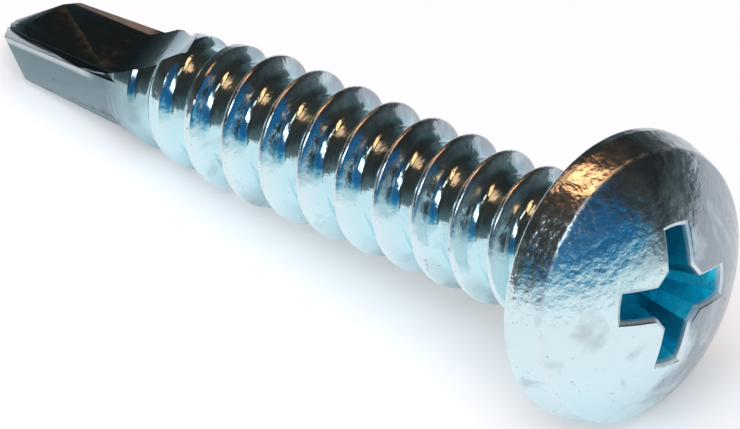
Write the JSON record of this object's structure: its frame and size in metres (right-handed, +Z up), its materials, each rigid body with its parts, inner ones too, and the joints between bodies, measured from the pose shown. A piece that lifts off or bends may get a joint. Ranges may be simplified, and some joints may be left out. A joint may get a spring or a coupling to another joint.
{
  "type": "self drilling screw",
  "caption": "Pan head screw with a cross recess, a coarse right-hand thread up to the head and a fluted drill point, lying on its side.",
  "frame": {"origin": "on the ground under the middle of the screw: the centre of its bounding box, at the bottom", "axes": "+X along the screw from drill point to head, +Z up from the ground it lies on; the screw's own axis lies in the XZ plane and drops 8.5 degrees towards the point"},
  "size_m": [0.028, 0.0092, 0.0092],
  "materials": {
    "zinc_plated_steel": "bright blue zinc plating over rolled and forged steel"
  },
  "bodies": {
    "root": {"screw": "zinc_plated_steel"}
  },
  "joints": []
}
